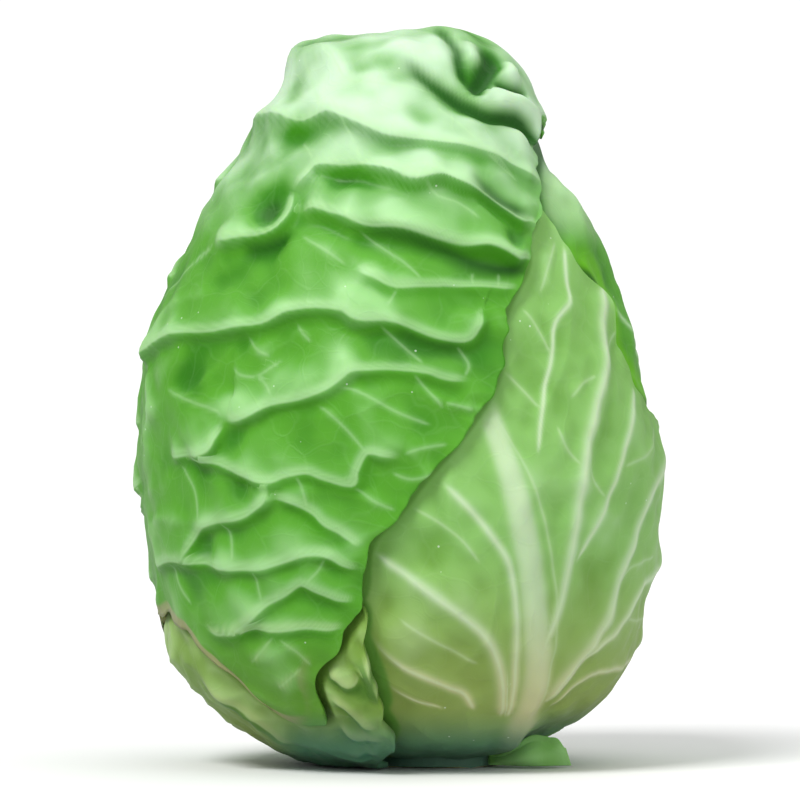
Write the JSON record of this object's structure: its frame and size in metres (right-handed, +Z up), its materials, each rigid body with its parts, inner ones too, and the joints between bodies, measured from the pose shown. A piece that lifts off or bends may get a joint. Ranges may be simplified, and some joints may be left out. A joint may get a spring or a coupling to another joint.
{
  "type": "cabbage head",
  "caption": "Pointed cabbage head of blistered, ribbed wrapper leaves round a dense heart, standing on its cut stem.",
  "frame": {"origin": "centre of the flat cut face of the stem, on the surface that the head stands on", "axes": "+Z up along the head, +X to the right, -Y to the front where the margin of the largest leaf runs across"},
  "size_m": [0.1433, 0.1437, 0.1977],
  "materials": {
    "green_leaf": "waxy green leaf with pale veins",
    "pale_leaf": "waxy pale green leaf with thick pale ribs",
    "yellow_leaf": "yellow-green leaf base",
    "stem": "cream cut stem and pale inner leaves"
  },
  "bodies": {
    "root": {"outer_leaf_left": "green_leaf", "lower_leaf_left": "yellow_leaf", "outer_leaf_front_right": "pale_leaf", "outer_leaf_right": "green_leaf", "outer_leaf_back": "pale_leaf", "leaf_stub": "green_leaf", "heart_and_stem": "stem"}
  },
  "joints": []
}
